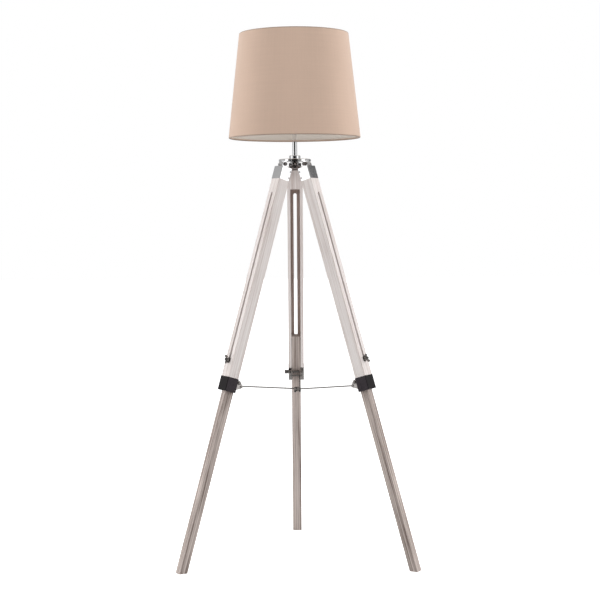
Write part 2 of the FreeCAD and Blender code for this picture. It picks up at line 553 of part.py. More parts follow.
def make_spreader_hub():
    """Small turned boss in the middle of the three rods."""
    radius = abs(ROD_OFFSET) - ROD_EYE_WIDTH / 2 - CLEARANCE
    pieces["spreader_hub"] = turned([
        (0, SPREADER_HEIGHT - 6.5), (radius - 1, SPREADER_HEIGHT - 6.5), (radius, SPREADER_HEIGHT - 5.5),
        (radius, SPREADER_HEIGHT + 4.5), (radius - 1, SPREADER_HEIGHT + 5.5),
        (0, SPREADER_HEIGHT + 5.5)])


# ---------------------------------------------------------------- assembly
make_head()
make_lampholder()
make_bulb()
make_shade()
for leg_number, leg_azimuth in enumerate(LEG_AZIMUTHS, start=1):
    make_leg(leg_number, leg_azimuth)
    make_rod(leg_number, leg_azimuth)
make_spreader_hub()

footprint = Part.makeCompound(list(pieces.values())).optimalBoundingBox(True, False)
to_origin = Vector(-footprint.Center.x, -footprint.Center.y, 0)

os.makedirs("parts", exist_ok=True)
for name, solid in pieces.items():
    solid.translate(to_origin)
    solid.exportStep(f"parts/{name}.step")
print("pieces:", len(pieces), " lamp axis at y =", round(to_origin.y, 3), " box:", footprint)
print("rod length:", round(ROD_LENGTH, 3), " spreader height:", round(SPREADER_HEIGHT, 3))
for name, solid in pieces.items():
    if not solid.isValid() or solid.Volume <= 0:
        print("faulty:", name)
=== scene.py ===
import json
import math

import bpy
from mathutils import Matrix, Vector


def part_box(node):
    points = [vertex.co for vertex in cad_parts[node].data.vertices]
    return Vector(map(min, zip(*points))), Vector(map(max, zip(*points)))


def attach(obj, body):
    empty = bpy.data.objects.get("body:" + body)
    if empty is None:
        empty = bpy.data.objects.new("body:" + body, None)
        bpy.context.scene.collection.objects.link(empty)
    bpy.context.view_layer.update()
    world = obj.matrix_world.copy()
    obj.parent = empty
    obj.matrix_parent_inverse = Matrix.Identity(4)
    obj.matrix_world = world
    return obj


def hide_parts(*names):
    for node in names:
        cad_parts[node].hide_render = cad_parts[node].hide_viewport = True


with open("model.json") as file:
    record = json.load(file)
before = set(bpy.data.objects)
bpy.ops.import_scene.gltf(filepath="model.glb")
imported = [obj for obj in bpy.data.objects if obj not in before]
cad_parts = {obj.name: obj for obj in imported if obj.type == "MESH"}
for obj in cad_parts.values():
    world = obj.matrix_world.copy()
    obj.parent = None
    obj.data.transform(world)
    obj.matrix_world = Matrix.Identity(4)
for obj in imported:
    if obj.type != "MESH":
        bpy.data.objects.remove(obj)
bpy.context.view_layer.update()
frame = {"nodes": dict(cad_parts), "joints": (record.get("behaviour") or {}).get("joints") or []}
scene = bpy.context.scene
nodes = frame["nodes"]
joints = {joint["name"]: joint for joint in frame["joints"]}
MM = 0.001


# ------------------------------------------------------------------ the viewing place
# A tall lamp is looked at from about four metres away with a long lens, at chest height and
# nearly level, so that the underside of the hub and a thin slice of the lining show.
stem_low, stem_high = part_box("stem_tube")
LAMP_AXIS = Vector(((stem_low.x + stem_high.x) / 2, (stem_low.y + stem_high.y) / 2, 0.0))
CAMERA_FROM_AXIS = Vector((-0.01845, -3.90615, 0.90439))
CAMERA_TURN = (86.9953, 0.4777, -0.4542)

camera_data = bpy.data.cameras.new("camera")
camera_data.sensor_width = 36.0
camera_data.lens = 87.0
camera = bpy.data.objects.new("camera", camera_data)
camera.location = LAMP_AXIS + CAMERA_FROM_AXIS
camera.rotation_euler = [math.radians(angle) for angle in CAMERA_TURN]
scene.collection.objects.link(camera)
scene.camera = camera
scene.view_settings.view_transform = "Standard"


# ------------------------------------------------------------------ the studio
# A white room: a pale floor, two softboxes at each side of the lamp and one overhead. Bright and
# dark cards, which only mirror-like finishes can see, stand round it to draw chrome's bands.
ROOM_LIGHT = 0.40
ROOM_IN_MIRRORS = 0.48
CARD_DISTANCE = 3.3
CARD_HEIGHT = 2.6
CARD_SUNK = 0.2
FLOOR_SIZE = 40.0
FLOOR_GLOW = 1.2
AIM_HEIGHT = 0.9
# Each softbox: its place from the lamp's axis, its width and height in metres, and its watts.
SOFTBOXES = {
    "softbox_left": ((-2.6, -1.5, 1.2), (1.0, 2.4), 37.0),
    "softbox_right": ((2.6, -1.5, 1.2), (1.0, 2.4), 39.0),
    "softbox_far_left": ((-2.6, 1.2, 1.3), (1.6, 2.4), 31.0),
    "softbox_far_right": ((2.6, 1.2, 1.3), (1.6, 2.4), 34.0),
    "softbox_top": ((0.0, 0.3, 3.2), (2.2, 2.2), 26.0)}
# Each card: degrees round from the front, its width in metres, and how bright it is.
MIRROR_CARDS = {
    "card_front": (0, 2.6, 0.008),
    "card_front_left": (-36, 1.3, 0.12),
    "card_front_right": (34, 1.0, 0.30),
    "card_left": (-62, 1.4, 1.5),
    "card_right": (62, 1.6, 1.6),
    "card_far_left": (-100, 1.8, 0.62),
    "card_far_right": (100, 1.8, 0.52),
    "card_back_left": (-145, 2.4, 0.45),
    "card_back_right": (145, 2.4, 0.16)}


def node(tree, kind, inputs=None, **settings):
    """A shader node: a socket given as an input is linked, a plain value is set."""
    made = tree.nodes.new("ShaderNode" + kind)
    for name, value in settings.items():
        setattr(made, name, value)
    for name, value in (inputs or {}).items():
        socket = made.inputs[name]
        if isinstance(value, bpy.types.NodeSocket):
            tree.links.new(value, socket)
        else:
            socket.default_value = value
    return made


def new_material(name, **shader_values):
    """A material, its node tree and its Principled shader with constant values set on it."""
    made = bpy.data.materials.new(name)
    made.use_nodes = True
    shader = made.node_tree.nodes["Principled BSDF"]
    for label, value in shader_values.items():
        shader.inputs[label.replace("_", " ")].default_value = value
    return made, made.node_tree, shader


def feed(tree, shader, **sources):
    """Links sockets to the shader's inputs, an input's name written with _ for a space."""
    for label, source in sources.items():
        tree.links.new(source, shader.inputs[label.replace("_", " ")])


def ramp(tree, value, start, end, low=0.0, high=1.0, **settings):
    """A value between two limits turned into one between two others."""
    made = node(tree, "MapRange", {"Value": value, "From Min": start, "From Max": end,
                                   "To Min": low, "To Max": high}, **settings)
    return made.outputs["Result"]


def make_room():
    room = bpy.data.worlds.new("room")
    room.use_nodes = True
    scene.world = room
    tree = room.node_tree
    tree.nodes.clear()
    seen = node(tree, "Background", {"Color": (1, 1, 1, 1), "Strength": 1.0})
    path = node(tree, "LightPath")
    strength = ramp(tree, path.outputs["Is Glossy Ray"], 0.0, 1.0, ROOM_LIGHT, ROOM_IN_MIRRORS)
    lighting = node(tree, "Background", {"Color": (1.0, 0.99, 0.98, 1), "Strength": strength})
    mix = node(tree, "MixShader", {0: path.outputs["Is Camera Ray"], 1: lighting.outputs[0],
                                   2: seen.outputs[0]})
    node(tree, "OutputWorld", {"Surface": mix.outputs[0]})


def make_floor():
    bpy.ops.mesh.primitive_plane_add(size=FLOOR_SIZE, location=(LAMP_AXIS.x, LAMP_AXIS.y, 0.0))
    floor = bpy.context.object
    floor.name = "floor"
    finish, tree, shader = new_material("floor_paint", Base_Color=(0.62, 0.62, 0.62, 1), Roughness=0.7,
                                        Specular_IOR_Level=0.0, Emission_Color=(1, 1, 1, 1))
    glow = node(tree, "Math", {0: node(tree, "LightPath").outputs["Is Camera Ray"], 1: FLOOR_GLOW},
                operation="MULTIPLY")
    mottle = node(tree, "TexNoise", {"Vector": node(tree, "TexCoord").outputs["Object"], "Scale": 3.0})
    bump = node(tree, "Bump", {"Height": mottle.outputs["Fac"], "Strength": 0.02})
    feed(tree, shader, Emission_Strength=glow.outputs[0], Normal=bump.outputs["Normal"])
    floor.data.materials.append(finish)


def softbox(name, place, size, power):
    """A soft rectangular light that faces the lamp and isn't seen in mirrors."""
    light = bpy.data.lights.new(name, "AREA")
    light.shape = "RECTANGLE"
    light.size, light.size_y = size
    light.energy = power
    stand = bpy.data.objects.new(name, light)
    stand.location = LAMP_AXIS + Vector(place)
    towards = LAMP_AXIS + Vector((0, 0, AIM_HEIGHT)) - stand.location
    stand.rotation_euler = towards.to_track_quat("-Z", "Y").to_euler()
    stand.visible_glossy = False
    scene.collection.objects.link(stand)


def mirror_card(name, azimuth, width, level):
    """A glowing card at an angle round from the front, seen in reflections only."""
    bpy.ops.mesh.primitive_plane_add(size=1.0)
    card = bpy.context.object
    card.name = name
    turn = Matrix.Rotation(math.radians(azimuth), 4, "Z")
    upright = Matrix.Rotation(math.radians(90), 4, "X")
    middle = LAMP_AXIS + Vector((0, 0, CARD_HEIGHT / 2 - CARD_SUNK))
    card.data.transform(Matrix.Translation(middle) @ turn
                        @ Matrix.Translation((0, -CARD_DISTANCE, 0)) @ upright
                        @ Matrix.Diagonal((width, CARD_HEIGHT, 1, 1)))
    glow = new_material(name, Base_Color=(0, 0, 0, 1), Roughness=1.0, Specular_IOR_Level=0.0,
                        Emission_Color=(1, 1, 1, 1), Emission_Strength=level)[0]
    card.data.materials.append(glow)
    card.visible_camera = card.visible_diffuse = card.visible_shadow = False
    card.visible_transmission = False


make_room()
make_floor()
for name, (place, size, power) in SOFTBOXES.items():
    softbox(name, place, size, power)
for name, (azimuth, width, level) in MIRROR_CARDS.items():
    mirror_card(name, azimuth, width, level)


# ------------------------------------------------------------------ chrome hub
# A turned steel plate with three hinge knuckles, a collar and a cup under it, all polished: the plate
# and collar chrome plated, the cup smoky nickel. A threaded tube up the middle and its lock nut pull
# them together.
def node_group(name, inputs, outputs):
    """An empty shader node group with its sockets: (label, kind, value) in, (label, kind) out."""
    made = bpy.data.node_groups.new(name, "ShaderNodeTree")
    for label, kind, value in inputs:
        socket = made.interface.new_socket(label, in_out="INPUT", socket_type="NodeSocket" + kind)
        if value is not None:
            socket.default_value = value
    for label, kind in outputs:
        made.interface.new_socket(label, in_out="OUTPUT", socket_type="NodeSocket" + kind)
    return made, made.nodes.new("NodeGroupInput"), made.nodes.new("NodeGroupOutput")


def placed_group(tree, made, inputs):
    """A node group set into a material with its values."""
    holder = tree.nodes.new("ShaderNodeGroup")
    holder.node_tree = made
    for name, value in inputs.items():
        if isinstance(value, bpy.types.NodeSocket):
            tree.links.new(value, holder.inputs[name])
        else:
            holder.inputs[name].default_value = value
    return holder


def math_node(tree, operation, first, second=0.0, third=0.0):
    made = node(tree, "Math", {0: first, 1: second, 2: third}, operation=operation)
    return made.outputs[0]


def stretched_noise(tree, place, stretch, detail, roughness=0.5):
    """Noise that repeats by a different amount along each axis."""
    stretched = node(tree, "Mapping", {"Vector": place, "Scale": stretch})
    noise = node(tree, "TexNoise", {"Vector": stretched.outputs["Vector"], "Scale": 1.0,
                                    "Detail": detail, "Roughness": roughness})
    return noise.outputs["Fac"]


def relief(tree, height, strength, depth):
    """The normal of a surface that has a fine relief on it."""
    bump = node(tree, "Bump", {"Height": height, "Strength": strength, "Distance": depth})
    return bump.outputs["Normal"]


HAIR_SCRATCHES = (2500, 2500, 90)


def make_handled_metal():
    """Finger marks as cloudy roughness, and fine rubbing scratches, on a plated surface."""
    made, given, result = node_group(
        "handled_metal",
        [("Vector", "Vector", None), ("Mark Size", "Float", 60.0), ("Clean", "Float", 0.04),
         ("Marked", "Float", 0.12), ("Scratch", "Float", 0.1)],
        [("Roughness", "Float"), ("Height", "Float")])
    smear = node(made, "TexNoise", {"Vector": given.outputs["Vector"],
                                    "Scale": given.outputs["Mark Size"], "Detail": 6.0,
                                    "Roughness": 0.6, "Distortion": 0.8})
    marks = ramp(made, smear.outputs["Fac"], 0.42, 0.72, given.outputs["Clean"],
                 given.outputs["Marked"])
    hairs = stretched_noise(made, given.outputs["Vector"], HAIR_SCRATCHES, 2.0)
    height = math_node(made, "MULTIPLY", hairs, given.outputs["Scratch"])
    made.links.new(marks, result.inputs["Roughness"])
    made.links.new(height, result.inputs["Height"])
    return made


handled_metal = make_handled_metal()


def metal_finish(name, colour, mark_size, clean, marked, scratch):
    """A plated metal: its roughness where clean and where marked, and how deep its scratches."""
    finish, tree, shader = new_material(name, Base_Color=(*colour, 1), Metallic=1.0)
    marks = placed_group(tree, handled_metal, {
        "Vector": node(tree, "TexCoord").outputs["Object"], "Mark Size": mark_size,
        "Clean": clean, "Marked": marked, "Scratch": scratch})
    feed(tree, shader, Roughness=marks.outputs["Roughness"],
         Normal=relief(tree, marks.outputs["Height"], strength=0.25, depth=0.02 * MM))
    return finish


def paint_node(finish, *names):
    """Gives CAD nodes that keep their shape a new finish."""
    for name in names:
        for holder in nodes[name].material_slots:
            holder.material = finish


def only(piece):
    """Makes one piece the selected and active one."""
    bpy.ops.object.select_all(action="DESELECT")
    piece.select_set(True)
    bpy.context.view_layer.objects.active = piece


def new_piece(name, finish):
    """Names the primitive just added, gives it its finish and leaves it alone selected."""
    piece = bpy.context.object
    piece.name = name
    piece.data.name = name
    piece.data.materials.append(finish)
    only(piece)
    bpy.ops.object.transform_apply(location=True, rotation=True, scale=True)
    return piece


def pick(piece, kind, wanted):
    """Leaves the piece in edit mode with those of its faces, edges or vertices selected."""
    bpy.ops.object.mode_set(mode="EDIT")
    bpy.ops.mesh.select_mode(type={"polygons": "FACE", "edges": "EDGE", "vertices": "VERT"}[kind])
    bpy.ops.mesh.select_all(action="DESELECT")
    bpy.ops.object.mode_set(mode="OBJECT")
    for part in getattr(piece.data, kind):
        part.select = bool(wanted(part))
    bpy.ops.object.mode_set(mode="EDIT")


def apply_modifier(piece, kind, **settings):
    only(piece)
    made = piece.modifiers.new(kind.lower(), kind)
    for name, value in settings.items():
        setattr(made, name, value)
    bpy.ops.object.modifier_apply(modifier=made.name)


def smooth(piece, degrees=35.0):
    only(piece)
    bpy.ops.object.shade_smooth_by_angle(angle=math.radians(degrees))


def merged_copy(name, title, finish):
    """A new piece with the shape of a CAD node, its loose triangles merged into flat faces."""
    piece = bpy.data.objects.new(title, nodes[name].data.copy())
    piece.data.name = title
    scene.collection.objects.link(piece)
    piece.data.materials.clear()
    piece.data.materials.append(finish)
    only(piece)
    bpy.ops.mesh.customdata_custom_splitnormals_clear()
    bpy.ops.object.mode_set(mode="EDIT")
    bpy.ops.mesh.select_all(action="SELECT")
    bpy.ops.mesh.remove_doubles(threshold=0.002 * MM)
    bpy.ops.mesh.dissolve_limited(angle_limit=math.radians(0.5))
    bpy.ops.object.mode_set(mode="OBJECT")
    return piece


def ease_edges(piece, width, longer_than, segments=2):
    """Rounds the sharp edges that are longer than a length, as filing or planing would."""
    normals = {}
    for face in piece.data.polygons:
        for key in face.edge_keys:
            normals.setdefault(key, []).append(face.normal.copy())

    def is_sharp(edge):
        first, second = (piece.data.vertices[end].co for end in edge.vertices)
        sides = normals[edge.key]
        return ((first - second).length > longer_than and len(sides) == 2
                and sides[0].angle(sides[1], 0.0) > math.radians(45))

    pick(piece, "edges", is_sharp)
    bpy.ops.mesh.bevel(offset=width, segments=segments, affect="EDGES", clamp_overlap=True)
    bpy.ops.object.mode_set(mode="OBJECT")
    smooth(piece, 40)
    apply_modifier(piece, "WEIGHTED_NORMAL", keep_sharp=True)


chrome = metal_finish("chrome", colour=(0.80, 0.80, 0.81), mark_size=55.0, clean=0.035,
                      marked=0.10, scratch=0.05)
zinc = metal_finish("zinc_plate", colour=(0.22, 0.208, 0.20), mark_size=120.0, clean=0.20,
                    marked=0.36, scratch=0.6)
smoky_nickel = metal_finish("smoky_nickel", colour=(0.30, 0.27, 0.255), mark_size=60.0,
                            clean=0.08, marked=0.18, scratch=0.1)
for name, finish, slot in (("hub_plate", chrome, "chrome"), ("hub_collar", chrome, "chrome"),
                           ("hub_cup", smoky_nickel, "black_nickel")):
    turned_piece = merged_copy(name, name + "_polished", finish)
    ease_edges(turned_piece, 0.4 * MM, 0.5 * MM)
    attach(turned_piece, "head")
    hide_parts(name)
paint_node(chrome, "stem_tube")
paint_node(zinc, "threaded_nipple", "hub_lock_nut")


# ------------------------------------------------------------------ leg hinges
# Domed bolts of dark steel with hexagon nuts are the hinge pins, and a chrome cap of bent sheet
# with two lugs is screwed over the head of each wooden leg.
dark_steel = metal_finish("dark_steel", colour=(0.085, 0.078, 0.075), mark_size=80.0,
                          clean=0.10, marked=0.22, scratch=0.2)
paint_node(dark_steel, "leg_hinge_bolts", "leg_hinge_nuts")
for number in (1, 2, 3):
    cap = merged_copy(f"top_bracket_{number}", f"bent_cap_{number}", chrome)
    ease_edges(cap, 0.5 * MM, 2.0 * MM)
    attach(cap, f"upper_leg_{number}")
    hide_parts(f"top_bracket_{number}")
    paint_node(chrome, f"bracket_screws_{number}")


# ------------------------------------------------------------------ cord gland
# A small bush of grey nylon, moulded in one piece and pressed into the cup. The supply cord
# would leave the lamp through it.
def make_moulded_surface():
    """The faint orange peel and cloudy tone of moulded plastic and powder coat."""
    made, given, result = node_group(
        "moulded_surface",
        [("Vector", "Vector", None), ("Colour", "Color", (0.8, 0.8, 0.8, 1)), ("Peel", "Float", 900.0),
         ("Low Roughness", "Float", 0.25), ("High Roughness", "Float", 0.4)],
        [("Colour", "Color"), ("Roughness", "Float"), ("Height", "Float")])
    cloud = node(made, "TexNoise", {"Vector": given.outputs["Vector"], "Scale": 35.0, "Detail": 5.0})
    peel = node(made, "TexNoise", {"Vector": given.outputs["Vector"], "Scale": given.outputs["Peel"],
                                   "Detail": 2.0})
    tone = ramp(made, cloud.outputs["Fac"], 0.0, 1.0, 0.93, 1.05)
    colour = node(made, "VectorMath", {0: given.outputs["Colour"], "Scale": tone}, operation="SCALE")
    rough = ramp(made, cloud.outputs["Fac"], 0.35, 0.65, given.outputs["Low Roughness"],
                 given.outputs["High Roughness"])
    made.links.new(colour.outputs["Vector"], result.inputs["Colour"])
    made.links.new(rough, result.inputs["Roughness"])
    made.links.new(peel.outputs["Fac"], result.inputs["Height"])
    return made


moulded_surface = make_moulded_surface()


def moulded_finish(name, colour, peel, low, high):
    """A moulded plastic or a powder coat, its roughness between a low and a high value."""
    finish, tree, shader = new_material(name)
    surface = placed_group(tree, moulded_surface, {
        "Vector": node(tree, "TexCoord").outputs["Object"], "Colour": (*colour, 1), "Peel": peel,
        "Low Roughness": low, "High Roughness": high})
    feed(tree, shader, Base_Color=surface.outputs["Colour"], Roughness=surface.outputs["Roughness"],
         Normal=relief(tree, surface.outputs["Height"], strength=0.3, depth=0.06 * MM))
    return finish


grey_nylon = moulded_finish("grey_nylon", colour=(0.23, 0.205, 0.195), peel=1400.0, low=0.35,
                            high=0.55)
paint_node(grey_nylon, "cord_gland")


# ------------------------------------------------------------------ lampholder and bulb
# A white moulded screw lampholder on the top of the stem, its brass contact inside, a ring nut
# that clamps the shade's spider, and a frosted bulb in a plated screw cap.
holder_plastic = moulded_finish("holder_plastic", colour=(0.80, 0.79, 0.75), peel=700.0,
                                low=0.22, high=0.34)
brass = metal_finish("spring_brass", colour=(0.80, 0.58, 0.28), mark_size=90.0, clean=0.15,
                     marked=0.3, scratch=0.3)
paint_node(holder_plastic, "lampholder_cap", "lampholder_body", "shade_ring_nut")
paint_node(brass, "holder_contact")
paint_node(zinc, "bulb_cap")


def make_frosted_glass():
    finish, tree, shader = new_material("frosted_glass", IOR=1.45, Transmission_Weight=0.45,
                                        Metallic=0.0, Coat_Weight=0.2)
    place = node(tree, "TexCoord").outputs["Object"]
    frost = node(tree, "TexNoise", {"Vector": place, "Scale": 1500.0, "Detail": 3.0})
    cloud = node(tree, "TexNoise", {"Vector": place, "Scale": 40.0, "Detail": 3.0})
    tone = node(tree, "Mix", {"Factor": cloud.outputs["Fac"], "A": (0.86, 0.86, 0.84, 1),
                              "B": (0.93, 0.93, 0.92, 1)}, data_type="RGBA")
    feed(tree, shader, Base_Color=tone.outputs["Result"],
         Roughness=ramp(tree, cloud.outputs["Fac"], 0.0, 1.0, 0.35, 0.5),
         Normal=relief(tree, frost.outputs["Fac"], strength=0.2, depth=0.05 * MM))
    return finish


paint_node(make_frosted_glass(), "bulb_glass")


# ------------------------------------------------------------------ shade frame
# Two wire rings and a three-armed spider of welded steel wire, powder coated white. The
# spider's middle ring drops over the lampholder.
white_wire = moulded_finish("white_powder_coat", colour=(0.78, 0.78, 0.76), peel=1100.0,
                            low=0.4, high=0.55)
paint_node(white_wire, "shade_spider", "shade_top_wire", "shade_bottom_wire")


# ------------------------------------------------------------------ shade cover
# Plain woven taupe cloth laminated to a stiff sheet and rolled into a cone, its ends lapped and
# glued at the back. At both rims the cloth is turned in over the wire ring and glued down.
ROUND_STEPS = 192
CLOTH_THICKNESS = 0.9 * MM
ROLL_HALF_WIDTH = 2.95 * MM
ROLL_HEIGHT = 2.0 * MM
ROLL_STEPS = 6
TURN_IN = 2.2 * MM
LAP_PROUD = 0.45 * MM
# Painted shade along each rim of the cloth: where it starts in from the edge, how dark it gets, and
# where it is full.
RIM_SHADOW = 4.5 * MM
RIM_SHADE_TONE = 0.5
RIM_FACE = 1 * MM
THICK_AND_THIN_YARNS = ((260.0, 6.0, 1.0), (5.0, 300.0, 1.0))

cover_low, cover_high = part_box("shade_cover")
low_wire_low, low_wire_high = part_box("shade_bottom_wire")
top_wire_low, top_wire_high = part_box("shade_top_wire")
shade_height = cover_high.z - cover_low.z
bottom_radius = (cover_high.x - cover_low.x) / 2
taper = (low_wire_high.x - top_wire_high.x) / (low_wire_low.z - top_wire_low.z)


def shade_radius(height):
    """Outer radius of the shade at a height in the frame."""
    return bottom_radius + taper * (height - cover_low.z)


def wall_tube(name, finish, low, high, inset):
    """An open cone that follows the shade's slope between two heights, set in from its face."""
    bpy.ops.object.select_all(action="DESELECT")
    bpy.ops.mesh.primitive_cone_add(
        vertices=ROUND_STEPS, radius1=shade_radius(low) - inset, radius2=shade_radius(high) - inset,
        depth=high - low, end_fill_type="NOTHING", location=LAMP_AXIS + Vector((0, 0, (low + high) / 2)))
    return new_piece(name, finish)


def turn_in(piece, edge_height, upwards):
    """Rolls the cloth from a rim over the wire ring, in steps, and down inside it."""
    pick(piece, "vertices", lambda vertex: abs(vertex.co.z - edge_height) < 0.01 * MM)
    bpy.ops.mesh.select_mode(type="EDGE")
    face_radius = shade_radius(edge_height)
    radius, height = face_radius, edge_height
    steps = [(face_radius - ROLL_HALF_WIDTH * (1 - math.cos(math.pi * k / ROLL_STEPS)),
              edge_height + upwards * ROLL_HEIGHT * math.sin(math.pi * k / ROLL_STEPS))
             for k in range(1, ROLL_STEPS + 1)]
    hem = edge_height - upwards * TURN_IN
    steps.append((shade_radius(hem) - 2 * ROLL_HALF_WIDTH, hem))
    for next_radius, next_height in steps:
        bpy.ops.mesh.extrude_region_move(
            TRANSFORM_OT_translate={"value": (0, 0, next_height - height)})
        share = next_radius / radius
        bpy.ops.transform.resize(value=(share, share, 1),
                                 center_override=LAMP_AXIS + Vector((0, 0, next_height)))
        radius, height = next_radius, next_height
    bpy.ops.object.mode_set(mode="OBJECT")


def lay_flat(piece):
    """A UV map in metres: across the cloth round the shade, and up it."""
    if not piece.data.uv_layers:
        piece.data.uv_layers.new(name="cloth")
    layer = piece.data.uv_layers[0]
    layer.name = "cloth"
    for face in piece.data.polygons:
        turns = []
        for corner in face.loop_indices:
            place = piece.data.vertices[piece.data.loops[corner].vertex_index].co - LAMP_AXIS
            turns.append(math.atan2(-place.x, -place.y))
        if max(turns) - min(turns) > math.pi:
            turns = [turn + 2 * math.pi if turn < 0 else turn for turn in turns]
        for corner, turn in zip(face.loop_indices, turns):
            place = piece.data.vertices[piece.data.loops[corner].vertex_index].co
            layer.data[corner].uv = (turn * bottom_radius, place.z - cover_low.z)


def make_woven_threads():
    """Warp and weft as crossing ridges, with thick and thin yarns and a slow drift of tone."""
    made, given, result = node_group(
        "woven_threads",
        [("Vector", "Vector", None), ("Threads", "Float", 1800.0), ("Slub", "Float", 0.5)],
        [("Tone", "Float"), ("Height", "Float")])
    split = node(made, "SeparateXYZ", {"Vector": given.outputs["Vector"]})
    ridges = []
    for label in ("X", "Y"):
        turn = math_node(made, "MULTIPLY", split.outputs[label], given.outputs["Threads"])
        ridges.append(math_node(made, "SINE", math_node(made, "MULTIPLY", turn, math.pi)))
    crossing = math_node(made, "MULTIPLY", ridges[0], ridges[1])
    checker = math_node(made, "MULTIPLY_ADD", crossing, 0.5, 0.5)
    warp, weft = (stretched_noise(made, given.outputs["Vector"], stretch, 4.0)
                  for stretch in THICK_AND_THIN_YARNS)
    yarn = math_node(made, "ADD", warp, weft)
    slub = math_node(made, "MULTIPLY", math_node(made, "SUBTRACT", yarn, 1.0), given.outputs["Slub"])
    drift = node(made, "TexNoise", {"Vector": given.outputs["Vector"], "Scale": 7.0, "Detail": 2.0})
    drift_tone = math_node(made, "MULTIPLY_ADD", drift.outputs["Fac"], 0.08, -0.04)
    tone = math_node(made, "ADD", math_node(made, "MULTIPLY_ADD", checker, 0.05, 0.975),
                     math_node(made, "ADD", slub, drift_tone))
    height = math_node(made, "ADD", checker, slub)
    made.links.new(tone, result.inputs["Tone"])
    made.links.new(height, result.inputs["Height"])
    return made


woven_threads = make_woven_threads()


def cloth_finish(name, colour, threads, slub, raised, **more):
    """Woven cloth with so many threads a metre, with painted shade darkening it near each rim where it
    folds over.
    """
    finish, tree, shader = new_material(name, **more)
    cloth = node(tree, "UVMap", uv_map="cloth")
    weave = placed_group(tree, woven_threads, {"Vector": cloth.outputs["UV"], "Threads": threads,
                                               "Slub": slub})
    up_cloth = node(tree, "SeparateXYZ", {"Vector": cloth.outputs["UV"]}).outputs["Y"]
    half = shade_height / 2
    from_middle = math_node(tree, "ABSOLUTE", math_node(tree, "SUBTRACT", up_cloth, half))
    # Painted shade: the cloth's colour is darkened towards each rim, where it folds over the wire.
    fold = ramp(tree, from_middle, half - RIM_SHADOW, half - RIM_FACE, 1.0, RIM_SHADE_TONE,
                interpolation_type="SMOOTHSTEP")
    tone = math_node(tree, "MULTIPLY", weave.outputs["Tone"], fold)
    toned = node(tree, "VectorMath", {0: colour, "Scale": tone}, operation="SCALE")
    feed(tree, shader, Base_Color=toned.outputs["Vector"],
         Normal=relief(tree, weave.outputs["Height"], strength=raised, depth=0.18 * MM))
    return finish


taupe_cloth = cloth_finish("taupe_cloth", colour=(0.645, 0.475, 0.375), threads=1700.0, slub=0.07,
                           raised=0.3, Roughness=0.8, Sheen_Weight=0.30, Sheen_Roughness=0.4,
                           Specular_IOR_Level=0.25)
roll_room = ROLL_HEIGHT + LAP_PROUD + 0.1 * MM
cover = wall_tube("shade_cloth_cover", taupe_cloth, cover_low.z + roll_room,
                  cover_high.z - roll_room, 0.0)
turn_in(cover, cover_high.z - roll_room, 1)
turn_in(cover, cover_low.z + roll_room, -1)


def on_the_lap(face):
    """Whether a face is in the strip at the back where the cloth's ends overlap."""
    middle = face.center - LAMP_AXIS
    return abs(math.atan2(middle.x, middle.y)) < 2 * math.pi / ROUND_STEPS and middle.y > 0


pick(cover, "polygons", on_the_lap)
bpy.ops.mesh.extrude_region_shrink_fatten(TRANSFORM_OT_shrink_fatten={"value": LAP_PROUD})
bpy.ops.object.mode_set(mode="OBJECT")
apply_modifier(cover, "SOLIDIFY", thickness=CLOTH_THICKNESS, offset=-1.0)
lay_flat(cover)
smooth(cover, 50)
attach(cover, "head")
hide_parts("shade_cover")


# ------------------------------------------------------------------ shade lining
# The pale laminated sheet that stiffens the cloth is the inside face of the shade. It is as
# deep as the shade, less the rolled rims that hide its edges.
LINING_GAP = 1.25 * MM
LINING_THICKNESS = 0.5 * MM
LINING_END = 3.0 * MM

pale_lining = cloth_finish("pale_lining", colour=(0.84, 0.78, 0.72), threads=900.0, slub=0.04,
                           raised=0.08, Roughness=0.55, Specular_IOR_Level=0.35)
lining = wall_tube("shade_inner_lining", pale_lining, cover_low.z + LINING_END,
                   cover_high.z - LINING_END, LINING_GAP)
apply_modifier(lining, "SOLIDIFY", thickness=LINING_THICKNESS, offset=-1.0)
lay_flat(lining)
smooth(lining, 50)
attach(lining, "head")
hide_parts("shade_lining")


# ------------------------------------------------------------------ wooden legs
# Each leg is two sticks of planed softwood, whitewashed so that the grain shows pinkish grey.
# The lower stick slides in the channelled inside face of the upper one.
CHANNEL_MOUTH = 14.9 * MM
CHANNEL_FLOOR = 10.0 * MM
UPPER_DEPTH = 30.5 * MM
UPPER_WIDTH = 42.0 * MM
CHANNEL_HALF_WIDTH = 13.6 * MM
LOWER_DEPTH = 22.0 * MM
LOWER_WIDTH = 25.3 * MM
# The hinge pin stands out from the upper leg's middle line, and the lower leg stands in from it.
PIN_SET_OUT = 4.0 * MM
LOWER_SET_IN = 3.9 * MM
# Painted shade inside the upper leg's channel: the wood's colour there is multiplied by this tone.
CHANNEL_SHADE_TONE = (0.68, 0.60, 0.56)
# How finely each mark of the wood repeats in a metre: twice across the stick, then along it.
RING_DRIFT = (9.0, 9.0, 1.6)
FIBRES = (900.0, 900.0, 14.0)
STREAKS = (210.0, 210.0, 2.6)
PORES = (1500.0, 1500.0, 60.0)
RUBBED_PATCHES = (45.0, 45.0, 7.0)
# Where the tree's middle lay from the stick's, how far its rings wander, and how many a metre.
PITH_OUT = 0.055
PITH_ASIDE = 0.034
RING_WANDER = 0.022
RINGS_PER_METRE = 240.0
# How strongly each mark shows through the wash, and how far the corners are rubbed bare.
RING_SHARE = 0.42
FIBRE_SHARE = 0.34
STREAK_SHARE = 0.45
PORE_SHARE = 0.12
CORNER_RUB = 0.6


